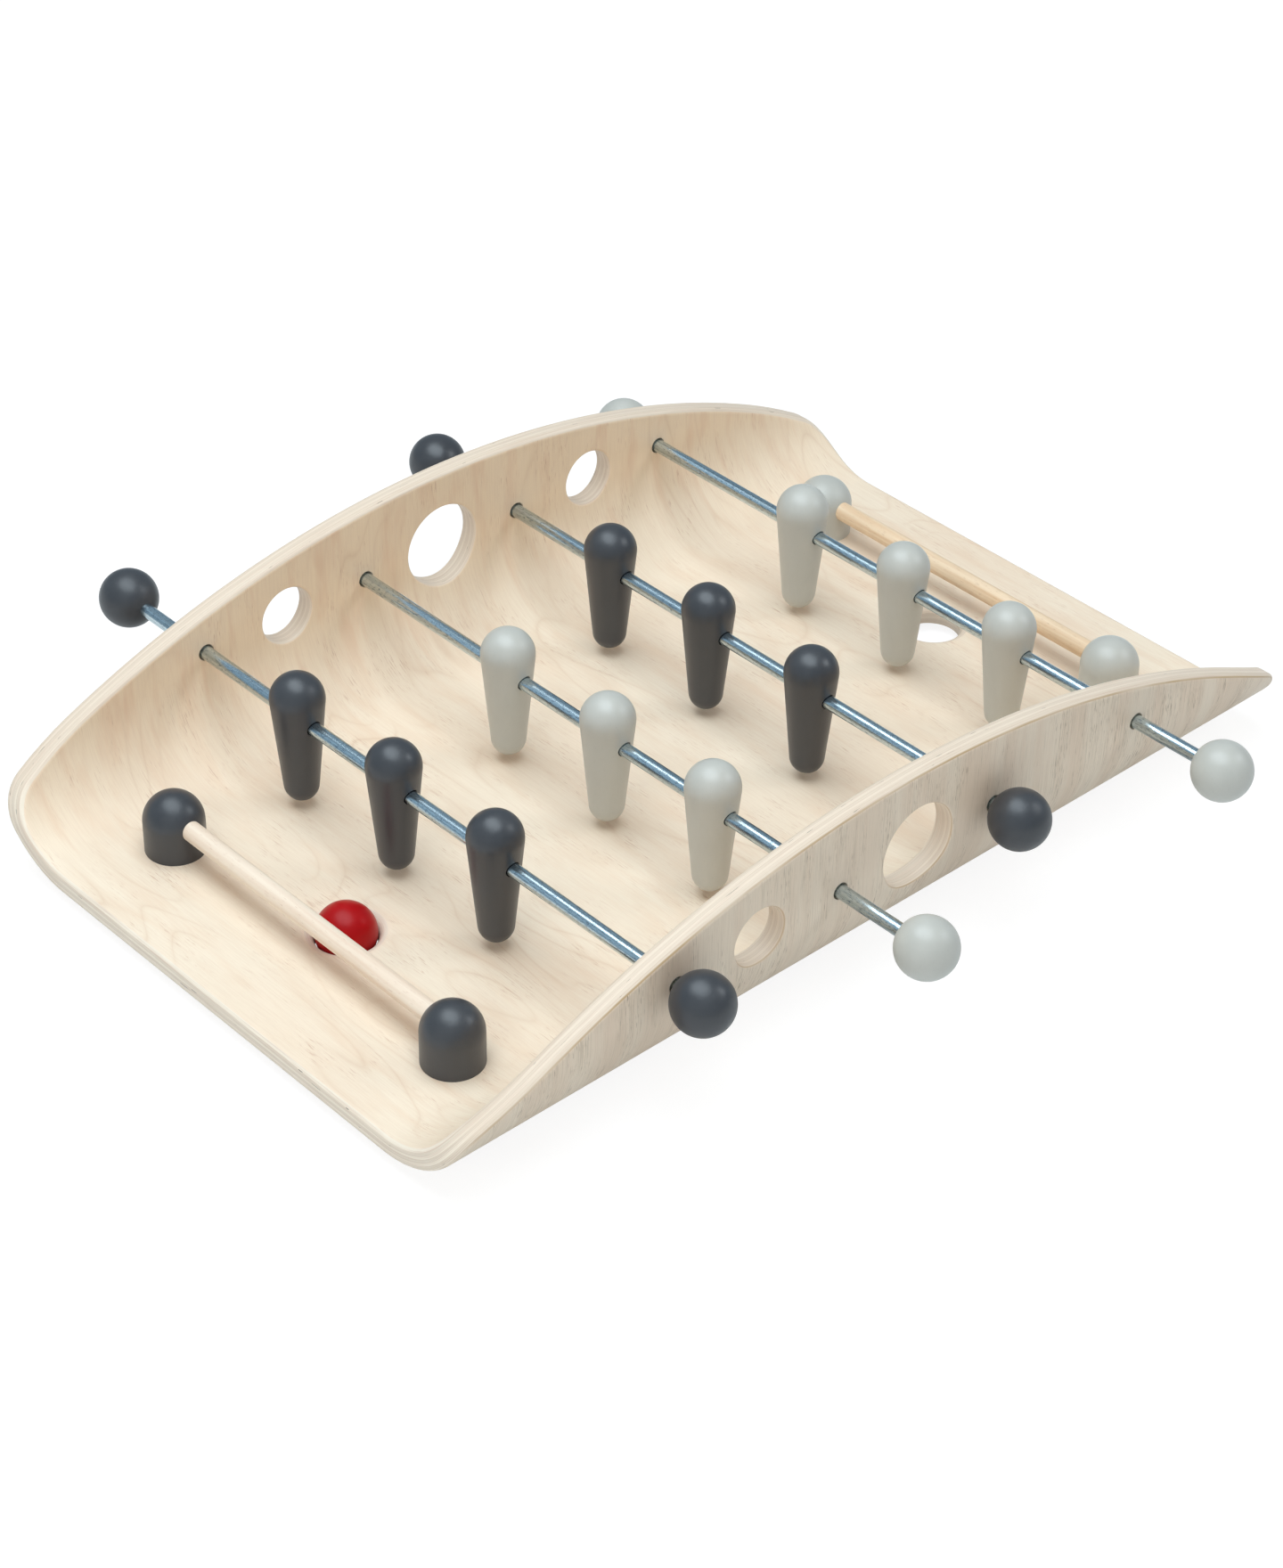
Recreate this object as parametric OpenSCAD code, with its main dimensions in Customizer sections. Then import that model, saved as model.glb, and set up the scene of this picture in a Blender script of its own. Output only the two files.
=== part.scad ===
// Table football game for a desk: a tray bent from one sheet of plywood, four steel
// rods with round knobs and turned players, goal posts with crossbars, and a ball.
// The length runs along X, the rods along Y, and the rubber feet stand on Z = 0.
// Left is +Y. The dark team's goal is at -X and the light team's goal is at +X.

/* [Board] */
// Length of the board
board_l = 543; // [500:1:620]
// Width over the outside of the two walls
board_w = 350; // [330:1:400]
// Thickness of the plywood
ply_t = 11; // [9:0.5:13]
// Inside radius of the bends between floor and walls
bend_r = 44; // [30:1:48]
// Height of the walls at the middle of the length
wall_h = 104; // [96:1:130]
// Height at which the arched edge would meet the end of the board
end_h = 31; // [28:1:50]
// Radius where the arched edge turns down into the end of the board
end_corner_r = 25; // [10:1:28]

/* [Holes] */
// Diameter of the large hole in the middle of each wall
large_hole_d = 44; // [34:1:50]
// Diameter of the small holes beside it
small_hole_d = 30; // [20:1:34]
// Width of the rounded rim of the ball holes in the floor
rim_w = 6; // [2:0.5:8]
// Depth of the rounded rim of the ball holes
rim_deep = 4; // [1:0.25:5]
// Distance from the goal line to a ball hole
ball_hole_ahead = 21.5; // [20:0.5:26]

/* [Rubber feet] */
// Height of the feet under the board
pad_h = 5; // [3:0.5:6]
// Diameter of a foot's sole
pad_d = 16; // [12:1:24]
// How much wider a foot is where it meets the board
pad_flare = 3; // [0:0.5:4]
// Distance from the goal line to a foot
pad_ahead = 50; // [42:1:80]
// Distance from the start of the bend to the middle of a foot
pad_inset = 20; // [12:1:40]

/* [Rods] */
// Diameter of the steel rods
rod_d = 7; // [6:0.5:8]
// Distance from one rod to the next
rod_pitch = 100; // [96:1:106]
// How far each rod slides either way from its middle place
rod_travel = 20; // [19:0.5:30]
// How far each rod stands to one side at rest
rest_shift = 18.5; // [0:0.5:19.5]
// Depth of the rod's end inside a knob
rod_sink = 18; // [10:0.5:20]
// Diameter of the knobs
knob_d = 30; // [26:0.5:36]

/* [Players] */
// Distance from one player to the next on a rod
player_pitch = 72.5; // [60:0.5:85]
// Diameter of the round head end
head_d = 27.1; // [22:0.1:30]
// Diameter of the round foot end
foot_d = 17.6; // [12:0.1:20]
// Height of the head's centre above the rod
head_up = 11.1; // [6:0.1:14]
// Depth of the foot's centre below the rod
foot_down = 38.5; // [34:0.25:40]
// Gap between a hanging foot and the floor of the board
foot_gap = 3.7; // [2:0.1:6]

/* [Goals] */
// Diameter of the goal posts
post_d = 30; // [24:0.5:34]
// Height of a post's straight side
post_side_h = 16.5; // [14:0.5:24]
// Distance from the end of the board to the goal line
post_inset = 54.5; // [40:0.5:60]
// Gap between a post and the start of the bend
post_bend_gap = 2; // [0.5:0.5:10]
// Diameter of the crossbars
bar_d = 10; // [8:0.5:12]
// Height of a crossbar's middle above the floor of the board
bar_h = 17.6; // [14:0.1:22]
// Depth of a crossbar's end inside a post
bar_sink = 8; // [5:0.5:10]

/* [Screws] */
// Shank diameter of the screws that hold the posts
screw_d = 4; // [3:0.5:5]
// Length of a screw over its flat head
screw_l = 30; // [24:1:34]
// Diameter of the countersunk head
screw_head_d = 8; // [7:0.5:10]

/* [Ball] */
// Diameter of the ball
ball_d = 30; // [26:0.5:33]

/* [Fits] */
// Gap all round a rod in the walls
wall_bore_gap = 0.5; // [0.2:0.1:0.8]
// Gap all round a rod in its knobs and players
run_gap = 0.05; // [0.02:0.01:0.1]
// Gap all round a crossbar in its posts and a screw in its holes
glue_gap = 0.05; // [0.02:0.01:0.2]
// Gap left past the end of whatever sits in a blind hole
end_gap = 0.3; // [0.1:0.1:1]
// Gap all round the ball in its hole
ball_hole_gap = 0.4; // [0.2:0.1:2]

/* [Hidden] */
$fn = 96;
over = 1;
rod_count = 4;
players_per_rod = 3;

sides = ["left", "right"];
player_places = ["left", "middle", "right"];
teams = ["dark", "light"];

ply_color = "burlywood";
dark_color = "darkslategray";
light_color = "darkseagreen";
steel_color = "silver";
ball_color = "firebrick";
dark_bar_color = "rosybrown";
light_bar_color = "peru";
rubber_color = "dimgray";

// Heights of the underside of the board and of the floor that the ball rolls on
under_z = pad_h;
floor_z = under_z + ply_t;

// Arched side outline: the arch is one arc over the whole length
arch_rise = wall_h - end_h;
arch_r = (pow(board_l / 2, 2) + pow(arch_rise, 2)) / (2 * arch_rise);
arch_z = under_z + wall_h - arch_r;
corner_x = board_l / 2 - end_corner_r;
corner_z = arch_z + sqrt(pow(arch_r - end_corner_r, 2) - pow(corner_x, 2));
// Half the length over which the edge is the arch itself, up to where the corner takes over
arch_half_l = corner_x * arch_r / (arch_r - end_corner_r);

// Ball holes: the rim's arc runs level with the floor and meets the bore at the rim's depth
ball_hole_r = ball_d / 2 + ball_hole_gap;
rim_r = (pow(rim_w, 2) + pow(rim_deep, 2)) / (2 * rim_deep);

// Rods: a foot hangs just clear of the floor, and a knob stops against the wall's outside
rod_z = floor_z + foot_gap + foot_down + foot_d / 2;
knob_y = board_w / 2 + rod_travel + knob_d / 2;
rod_half_l = knob_y - knob_d / 2 + rod_sink;
function rod_x(i) = (i - (rod_count - 1) / 2) * rod_pitch;
// The dark team's rods are every other one, from the dark goal
function is_dark(i) = i % 2 == 0;
function rod_y(i) = is_dark(i) ? rest_shift : -rest_shift;
function team_color(dark) = dark ? dark_color : light_color;
function side_sign(s) = s == "left" ? 1 : -1;

// Goals
goal_x = board_l / 2 - post_inset;
post_y = board_w / 2 - ply_t - bend_r - post_bend_gap - post_d / 2;
bar_z = floor_z + bar_h;
bar_half_l = post_y - post_d / 2 + bar_sink;
ball_hole_x = goal_x - ball_hole_ahead;
pad_y = board_w / 2 - ply_t - bend_r - pad_inset;
function goal_sign(t) = t == "dark" ? -1 : 1;

// Cylinder along Y, centred on the origin
module y_cylinder(d, l) {
    rotate([90, 0, 0]) cylinder(d = d, h = l, center = true);
}

// Section of a tub with a flat floor, upright sides and round corners
module tub_section(width, r, bottom_z) {
    translate([-width / 2, bottom_z + r]) square([width, wall_h]);
    translate([-width / 2 + r, bottom_z]) square([width - 2 * r, r + over]);
    for (s = [-1, 1]) translate([s * (width / 2 - r), bottom_z + r]) circle(r = r);
}

// The sheet bent up at both sides, open at both ends
module bent_sheet() {
    rotate([90, 0, 90]) linear_extrude(board_l, center = true) difference() {
        tub_section(board_w, bend_r + ply_t, under_z);
        tub_section(board_w - 2 * ply_t, bend_r, floor_z);
    }
}

// Side view of the board: upright ends, round corners and the long arch
module side_outline() {
    translate([-board_l / 2, 0]) square([board_l, corner_z]);
    for (s = [-1, 1]) translate([s * corner_x, corner_z]) circle(r = end_corner_r);
    intersection() {
        translate([0, arch_z]) circle(r = arch_r, $fn = 4 * $fn);
        translate([-arch_half_l, 0]) square([2 * arch_half_l, under_z + wall_h + over]);
    }
}

// Ball hole through the floor, with the soft rim that lets the ball roll in
module ball_hole() {
    cylinder(r = ball_hole_r, h = floor_z + over);
    translate([0, 0, floor_z]) rotate_extrude() difference() {
        translate([0, -rim_deep]) square([ball_hole_r + rim_w, rim_deep + over]);
        translate([ball_hole_r + rim_w, -rim_r]) circle(r = rim_r);
    }
}

// Hole through one wall, level with the rods
module wall_hole(x, side, d) {
    translate([x, side * (board_w - ply_t) / 2, rod_z]) y_cylinder(d, ply_t + bend_r);
}

// Clearance hole and countersink for one screw, from under the floor
module screw_hole() {
    translate([0, 0, -over]) cylinder(d = screw_d + 2 * glue_gap, h = ply_t + 2 * over);
    screw_head(screw_head_d / 2 + glue_gap, screw_d / 2 + glue_gap);
}

// Cone of a countersunk head of 90 degrees, flat side down on the underside
module screw_head(head_r, shank_r) {
    cylinder(r1 = head_r, r2 = shank_r, h = head_r - shank_r);
}

module board() {
    color(ply_color) difference() {
        intersection() {
            bent_sheet();
            rotate([90, 0, 0]) linear_extrude(board_w + 2 * over, center = true) side_outline();
        }
        for (i = [0:rod_count - 1])
            translate([rod_x(i), 0, rod_z]) y_cylinder(rod_d + 2 * wall_bore_gap, board_w + 2 * over);
        for (side = [-1, 1]) {
            wall_hole(0, side, large_hole_d);
            wall_hole(-rod_pitch, side, small_hole_d);
            translate([side * ball_hole_x, 0, 0]) ball_hole();
            for (end = [-1, 1]) translate([end * goal_x, side * post_y, under_z]) screw_hole();
        }
        wall_hole(rod_pitch, 1, small_hole_d);
    }
}

module ball() {
    color(ball_color) translate([-ball_hole_x, 0, ball_d / 2]) sphere(d = ball_d);
}

module screw() {
    screw_head(screw_head_d / 2, screw_d / 2);
    cylinder(d = screw_d, h = screw_l);
}

module post_screws() {
    color(steel_color)
        for (x = [-goal_x, goal_x]) for (y = [-post_y, post_y]) translate([x, y, under_z]) screw();
}

module rod(i) {
    color(steel_color) translate([rod_x(i), rod_y(i), rod_z]) y_cylinder(rod_d, 2 * rod_half_l);
}

// Ball-shaped knob with a blind hole for the rod's end
module knob(i, s) {
    color(team_color(is_dark(i)))
        translate([rod_x(i), rod_y(i) + side_sign(s) * knob_y, rod_z]) difference() {
            sphere(d = knob_d);
            translate([0, -side_sign(s) * (knob_d - rod_sink - end_gap), 0])
                y_cylinder(rod_d + 2 * run_gap, knob_d);
        }
}

// Turned body: a round head, a straight taper that meets both balls at a tangent, a smaller foot
module player_body() {
    head_r = head_d / 2;
    foot_r = foot_d / 2;
    slope = asin((head_r - foot_r) / (head_up + foot_down));
    taper_h = head_up + foot_down - (head_r - foot_r) * sin(slope);
    translate([0, 0, head_up]) sphere(r = head_r);
    translate([0, 0, -foot_down]) sphere(r = foot_r);
    translate([0, 0, -foot_down - foot_r * sin(slope)])
        cylinder(r1 = foot_r * cos(slope), r2 = head_r * cos(slope), h = taper_h);
}

// Turned player with a cross hole for the rod
module player(i, k) {
    color(team_color(is_dark(i)))
        translate([rod_x(i), rod_y(i) + ((players_per_rod - 1) / 2 - k) * player_pitch, rod_z])
            difference() {
                player_body();
                y_cylinder(rod_d + 2 * run_gap, head_d + 2 * over);
            }
}

// Post with a domed top, a blind hole for the crossbar and a pilot hole for its screw
module post(t, s) {
    color(team_color(t == "dark")) difference() {
        translate([goal_sign(t) * goal_x, side_sign(s) * post_y, floor_z]) union() {
            cylinder(d = post_d, h = post_side_h);
            translate([0, 0, post_side_h]) sphere(d = post_d);
        }
        translate([goal_sign(t) * goal_x, 0, bar_z])
            y_cylinder(bar_d + 2 * glue_gap, 2 * (bar_half_l + end_gap));
        translate([goal_sign(t) * goal_x, side_sign(s) * post_y, under_z])
            cylinder(d = screw_d + 2 * glue_gap, h = screw_l + end_gap);
        translate([goal_sign(t) * goal_x, side_sign(s) * post_y, floor_z - post_d])
            cylinder(d = post_d + 2 * over, h = post_d);
    }
}

module crossbar(t) {
    color(t == "dark" ? dark_bar_color : light_bar_color)
        translate([goal_sign(t) * goal_x, 0, bar_z]) y_cylinder(bar_d, 2 * bar_half_l);
}

// Rubber foot glued under the floor, wider at the top
module rubber_foot(t, s) {
    color(rubber_color) translate([goal_sign(t) * (goal_x - pad_ahead), side_sign(s) * pad_y, 0])
        cylinder(d1 = pad_d, d2 = pad_d + pad_flare, h = pad_h);
}

board();
ball();
post_screws();
for (i = [0:rod_count - 1]) {
    rod(i);
    for (s = sides)
        knob(i, s);
    for (k = [0:players_per_rod - 1])
        player(i, k);
}
for (t = teams) {
    for (s = sides) {
        post(t, s);
        rubber_foot(t, s);
    }
    crossbar(t);
}
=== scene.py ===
# %% [markdown]
# # A table football game in bent plywood
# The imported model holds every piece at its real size: a plywood tray, four steel rods that
# slide and spin, their knobs and players, the goals and the ball. This script gives each
# piece its finish. It loads the model first, and all that follows is fitted round it.

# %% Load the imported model
from math import acos, asin, cos, pi, radians, sin, sqrt

import bmesh
import bpy
from mathutils import Matrix, Vector
from mathutils.geometry import delaunay_2d_cdt


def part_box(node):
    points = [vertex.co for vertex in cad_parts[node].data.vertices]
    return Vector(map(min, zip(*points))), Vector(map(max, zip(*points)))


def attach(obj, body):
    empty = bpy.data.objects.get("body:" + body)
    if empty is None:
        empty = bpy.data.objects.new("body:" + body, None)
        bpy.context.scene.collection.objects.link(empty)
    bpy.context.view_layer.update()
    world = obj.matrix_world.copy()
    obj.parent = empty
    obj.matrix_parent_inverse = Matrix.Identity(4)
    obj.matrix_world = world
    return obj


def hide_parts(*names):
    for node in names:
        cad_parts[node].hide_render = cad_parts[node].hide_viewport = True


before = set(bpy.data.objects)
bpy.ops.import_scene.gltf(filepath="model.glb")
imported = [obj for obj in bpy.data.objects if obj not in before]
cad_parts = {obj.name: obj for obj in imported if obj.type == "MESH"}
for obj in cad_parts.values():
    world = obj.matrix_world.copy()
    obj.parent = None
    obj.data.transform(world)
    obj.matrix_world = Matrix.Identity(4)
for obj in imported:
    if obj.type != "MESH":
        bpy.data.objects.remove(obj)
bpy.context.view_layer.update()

MM = 0.001


# %% Where a node lies, and half its size
def centre_of(node):
    return [(low + high) / 2 for low, high in zip(*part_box(node))]


def half_size(node):
    return [(high - low) / 2 for low, high in zip(*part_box(node))]


# %% [markdown]
# ## Small helpers for node trees
# Materials and Geometry Nodes are both trees of nodes, and here each node is one call. One
# rule holds for what it is given: a value without a name goes to the next socket, a name
# with a capital is a socket, and a small name is a setting. A socket takes a plain value,
# another node's output, or a list of outputs. So a recipe reads like a row of sums.

# %% Add a node and fill its sockets
def fill(tree, socket, value):
    """Links an output to the socket, or each output of a list, or writes a plain value."""
    for source in value if isinstance(value, list) else [value]:
        if isinstance(source, bpy.types.NodeSocket):
            tree.links.new(source, socket)
        else:
            socket.default_value = (*source, 1.0) if socket.type == "RGBA" else source


def add(tree, kind, *values, **named):
    node = tree.nodes.new(kind)
    sockets = dict(enumerate(values))
    for name, value in named.items():
        if name[0].isupper():
            sockets[name.replace("_", " ")] = value
        else:
            setattr(node, name, value)
    for name, value in sockets.items():
        fill(tree, node.inputs[name], value)
    return node


def shade(tree, kind, *values, output=0, **named):
    """A shader node's first output, or the one that `output` names."""
    return add(tree, "ShaderNode" + kind, *values, **named).outputs[output]


def shape(tree, kind, *values, **named):
    """A geometry node's first output."""
    return add(tree, "GeometryNode" + kind, *values, **named).outputs[0]


# %% Sums
def calc(tree, operation, *values):
    """One step of maths on numbers or outputs, such as calc(tree, "SQRT", a)."""
    return shade(tree, "Math", *values, operation=operation)


def times(tree, first, second):
    return calc(tree, "MULTIPLY", first, second)


def plus(tree, first, second):
    return calc(tree, "ADD", first, second)


def minus(tree, first, second):
    return calc(tree, "SUBTRACT", first, second)


def spread(tree, value, low, high, new_low=0.0, new_high=1.0, kind="LINEAR"):
    """Maps a value from one range to another and holds it there."""
    return shade(tree, "MapRange", value, low, high, new_low, new_high, interpolation_type=kind)


def vector(tree, x=0.0, y=0.0, z=0.0):
    return shade(tree, "CombineXYZ", x, y, z)


def parts_of(tree, whole):
    """The X, Y and Z of a vector."""
    return add(tree, "ShaderNodeSeparateXYZ", whole).outputs[:3]


# %% Lay a colour on another, and stretch a noise
SEED_STEP = (7.3, 3.1, 5.7)


def tint(tree, amount, under, over):
    """Lays the colour `over` on the colour `under` by an amount from 0 to 1."""
    node = add(tree, "ShaderNodeMix", amount, data_type="RGBA")
    sockets = {s.identifier: s for s in (*node.inputs, *node.outputs)}
    fill(tree, sockets["A_Color"], under)
    fill(tree, sockets["B_Color"], over)
    return sockets["Result_Color"]


def noise(tree, size, seed, place=None, detail=3.0, roughness=0.55, distortion=0.0):
    """Noise whose blobs measure `size` millimetres along X, Y and Z, in the piece's own
    space or another. Each seed looks at another region of the same noise."""
    if place is None:
        place = shade(tree, "TexCoord", output="Object")
    scale = tuple(1.0 / (s * MM) for s in size)
    move = tuple(seed * step for step in SEED_STEP)
    moved = shade(tree, "Mapping", place, Location=move, Scale=scale)
    look = {"Detail": detail, "Roughness": roughness, "Distortion": distortion}
    return shade(tree, "TexNoise", moved, Scale=1.0, **look)


def stain(tree, color, over, pattern, low, high, most=1.0):
    """Lays on a colour where a pattern rises from low to high, and `most` at the full."""
    return tint(tree, spread(tree, pattern, low, high, 0.0, most), color, over)


# %% Start a material, and finish it
def new_material(name, **shader_values):
    material = bpy.data.materials.new(name)
    material.use_nodes = True
    tree = material.node_tree
    shader = tree.nodes["Principled BSDF"]
    for socket, value in shader_values.items():
        shader.inputs[socket.replace("_", " ")].default_value = value
    return material, tree, shader


def coat(tree, shader, color, roughness, relief, distance, strength):
    """Gives the shader its colour and roughness, and a relief `distance` metres high."""
    raised = shade(tree, "Bump", Height=relief, Distance=distance, Strength=strength)
    for socket, value in (("Base Color", color), ("Roughness", roughness), ("Normal", raised)):
        fill(tree, shader.inputs[socket], value)


# %% [markdown]
# ## Plywood
# The tray is birch plywood under a thin satin varnish. Its faces show a rotary-cut veneer:
# pale cream, with faint flames, fine fibres and short brown pores, all running across the
# board and up the walls. Its cut edges show the glued layers. The tray's mesh will carry
# an attribute named "sheet", which holds each point's place on the flat sheet before it
# was bent: along the board, across it, and how deep in the thickness. So the grain follows
# the bends, and the layers come from the depth alone, wherever a saw or a drill cut.

# %% Sizes of the sheet
PLY = 11 * MM
LAYERS = 7
LAYER = PLY / LAYERS
tray_low, tray_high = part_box("board")
HALF_LENGTH, HALF_WIDTH = tray_high.x, tray_high.y
print("Plywood of", LAYERS, "layers,", round(LAYER / MM, 2), "mm each")


# %% What the recipes read from the sheet
class Sheet:
    """The place on the flat sheet, the depth, the number of the layer, and noises there."""

    def __init__(self, tree):
        self.tree = tree
        self.flat = shade(tree, "Attribute", output="Vector", attribute_name="sheet")
        self.along, self.across, self.depth = parts_of(tree, self.flat)
        self.layer = calc(tree, "FLOOR", calc(tree, "DIVIDE", self.depth, LAYER + 1e-6))
        # Every layer has its own patch of noise
        self.patch = vector(tree, self.along, self.across, times(tree, self.layer, 0.31))

    def veneer(self, wide, long, seed, **more):
        """Noise inside a layer, with blobs that are `long` along the grain."""
        return noise(self.tree, (wide, long, 500), seed, self.patch, **more)

    def cut(self, long, thick, seed, **more):
        """Noise on a cut edge, with blobs that lie flat in the thickness."""
        return noise(self.tree, (long, long, thick), seed, self.flat, **more)


# %% Face veneer: pink and tan streaks, flames, fibres and pores, stronger up the walls.
# %% The walls' golden tint is partly the veneer and partly painted warm bounce light
CREAM, TAN, WALL_GOLD_AND_BOUNCE = (0.905, 0.778, 0.622), (0.875, 0.722, 0.562), (0.885, 0.70, 0.495)
BLUSH, FLAME = (0.79, 0.555, 0.385), (0.66, 0.44, 0.29)
FIBRE, PORE = (0.75, 0.57, 0.43), (0.60, 0.38, 0.26)


def face_veneer(tree, sheet):
    """The colour of the inner face, and its fibres and pores for the relief."""
    upward = spread(tree, calc(tree, "ABSOLUTE", sheet.across), 0.125, 0.205)
    color = stain(tree, CREAM, TAN, sheet.veneer(45, 140, 1), 0.36, 0.66)
    # The golden tint up the walls is partly the veneer's own colour and partly painted warm light
    # bounced from the floor
    color = tint(tree, times(tree, upward, 0.8), color, WALL_GOLD_AND_BOUNCE)
    blush = spread(tree, sheet.veneer(10, 55, 11, distortion=0.3), 0.48, 0.70)
    color = tint(tree, times(tree, blush, spread(tree, upward, 0.0, 1.0, 0.34, 0.80)), color, BLUSH)
    flames = sheet.veneer(55, 220, 2, detail=1.5, distortion=0.2)
    rings = calc(tree, "PINGPONG", times(tree, flames, 26.0), 1.0)
    strong = spread(tree, sheet.veneer(60, 100, 3, detail=2), 0.44, 0.66, 0.0, 0.40)
    color = tint(tree, times(tree, calc(tree, "POWER", rings, 7.0), strong), color, FLAME)
    fibres = sheet.veneer(0.7, 22, 4, detail=4, roughness=0.7)
    color = stain(tree, color, FIBRE, fibres, 0.42, 0.72, 0.36)
    pores = spread(tree, sheet.veneer(0.42, 7.5, 5, detail=1), 0.60, 0.70)
    pore = times(tree, pores, spread(tree, sheet.veneer(12, 30, 6), 0.48, 0.64))
    return tint(tree, times(tree, pore, 0.62), color, PORE), fibres, pore


# %% Back veneer: greyer, with fine straight dark streaks that come in groups
BACK_PALE, BACK_TAN = (0.84, 0.71, 0.565), (0.80, 0.645, 0.50)
STREAK, DASH = (0.44, 0.335, 0.225), (0.33, 0.22, 0.13)


def back_veneer(tree, sheet):
    color = stain(tree, BACK_PALE, BACK_TAN, sheet.veneer(12, 200, 7), 0.40, 0.62)
    groups = sheet.veneer(10, 45, 13, detail=2)
    streaks = spread(tree, sheet.veneer(0.45, 26, 12, roughness=0.6), 0.48, 0.68)
    grouped = spread(tree, groups, 0.36, 0.64, 0.14, 0.62)
    color = tint(tree, times(tree, streaks, grouped), color, STREAK)
    dashes = spread(tree, sheet.veneer(0.4, 6.5, 15, detail=1), 0.62, 0.70)
    grouped = spread(tree, groups, 0.44, 0.62, 0.1, 0.75)
    return tint(tree, times(tree, dashes, grouped), color, DASH)


# %% Cut edges: alternate layers of fine threads, thin glue lines and a few open gaps, whose inside is painted dark as shade
LONG_PALE, LONG_TAN = (0.94, 0.85, 0.72), (0.84, 0.74, 0.61)
END_PALE, END_TAN = (0.84, 0.745, 0.62), (0.74, 0.645, 0.525)
THREAD, GLUE, GAP_SHADE = (0.63, 0.46, 0.36), (0.60, 0.43, 0.31), (0.10, 0.08, 0.065)
ARCHED, GOLDEN = (0.72, 0.56, 0.43), (0.55, 0.37, 0.19)


def cut_edge(tree, sheet):
    phase = calc(tree, "FRACT", calc(tree, "DIVIDE", sheet.depth, LAYER))
    glue = spread(tree, calc(tree, "ABSOLUTE", minus(tree, phase, 0.5)), 0.40, 0.48)
    grain = sheet.cut(4, 0.3, 8, detail=4, roughness=0.7)
    long_layer = tint(tree, grain, LONG_PALE, LONG_TAN)
    end_layer = tint(tree, grain, END_PALE, END_TAN)
    edge = tint(tree, calc(tree, "MODULO", sheet.layer, 2.0), long_layer, end_layer)
    threads = sheet.cut(45, 0.42, 14, roughness=0.6)
    edge = stain(tree, edge, THREAD, threads, 0.47, 0.66, 0.52)
    faint = sheet.cut(50, 2.1, 9, detail=2)
    edge = tint(tree, times(tree, glue, spread(tree, faint, 0.3, 0.7, 0.15, 0.7)), edge, GLUE)
    # The open gaps aren't cut into the mesh: a near-black colour paints the shade inside them
    gaps = spread(tree, sheet.cut(10, 1.2, 10, detail=1), 0.705, 0.72)
    edge = tint(tree, times(tree, gaps, spread(tree, glue, 0.15, 0.3)), edge, GAP_SHADE)
    # Cut edges away from the board's ends, such as those along the arch, are made darker than the
    # end cuts
    from_middle = calc(tree, "ABSOLUTE", sheet.along)
    arched = spread(tree, from_middle, HALF_LENGTH - 14 * MM, HALF_LENGTH - 4 * MM, 0.38, 0.0)
    edge = tint(tree, arched, edge, ARCHED)
    # The last veneer ends in a golden line
    from_veneer = calc(tree, "ABSOLUTE", minus(tree, PLY - 0.5 * MM, sheet.depth))
    line = spread(tree, from_veneer, 0.45 * MM, 0.15 * MM)
    broken = spread(tree, faint, 0.35, 0.65, 0.20, 0.85)
    return tint(tree, times(tree, line, broken), edge, GOLDEN)


# %% Plywood, put together
SKIN = 0.3 * MM


def plywood():
    """Above half the depth the face veneer shows, below it the back, and the edge between."""
    material, tree, shader = new_material("birch_plywood", Specular_IOR_Level=0.35)
    sheet = Sheet(tree)
    face, fibres, pore = face_veneer(tree, sheet)
    is_back = calc(tree, "GREATER_THAN", sheet.depth, PLY / 2)
    color = tint(tree, is_back, face, back_veneer(tree, sheet))
    from_face = calc(tree, "MINIMUM", sheet.depth, minus(tree, PLY, sheet.depth))
    on_edge = spread(tree, from_face, SKIN * 0.7, SKIN, kind="SMOOTHSTEP")
    color = tint(tree, on_edge, color, cut_edge(tree, sheet))
    relief = minus(tree, times(tree, fibres, 0.4), pore)
    coat(tree, shader, color, spread(tree, fibres, 0.3, 0.7, 0.40, 0.52), relief, 0.05 * MM, 0.5)
    return material


# %% [markdown]
# ## Paint, lacquer, bare wood and steel
# The players, knobs and posts are turned wood under satin paint. Real paint over wood isn't
# flat: the brush and the grain leave faint waves, and small pores catch the light inside
# the highlights. So the bump has two scales, and the roughness wanders a little. The rods
# are drawn and zinc-plated, so their streaks run along them, and the dowels are bare.

# %% Painted wood
def painted_wood(name, color, worn, rough):
    """Satin paint: `worn` is the tone that the paint takes where it lies thin."""
    material, tree, shader = new_material(name, Specular_IOR_Level=0.60)
    cloud = noise(tree, (11, 11, 20), 1)
    grain = noise(tree, (0.7, 0.7, 9), 2)
    speck = noise(tree, (0.6, 0.6, 1.1), 3, detail=2)
    tone = stain(tree, color, worn, cloud, 0.35, 0.7, 0.55)
    tone = stain(tree, tone, tuple(c * 0.6 for c in color), speck, 0.66, 0.74, 0.25)
    wander = spread(tree, cloud, 0.3, 0.7, rough - 0.05, rough + 0.07)
    relief = plus(tree, times(tree, grain, 0.7), times(tree, speck, 0.8))
    coat(tree, shader, tone, wander, relief, 0.05 * MM, 0.7)
    return material


# %% Red lacquer
def red_lacquer():
    material, tree, shader = new_material("red_lacquer", Specular_IOR_Level=0.20)
    cloud = noise(tree, (8, 8, 8), 1)
    speck = noise(tree, (0.5, 0.5, 0.9), 2, detail=2)
    tone = stain(tree, (0.44, 0.004, 0.006), (0.39, 0.003, 0.005), cloud, 0.3, 0.7)
    coat(tree, shader, tone, spread(tree, cloud, 0.3, 0.7, 0.30, 0.38), speck, 0.02 * MM, 0.3)
    return material


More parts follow.
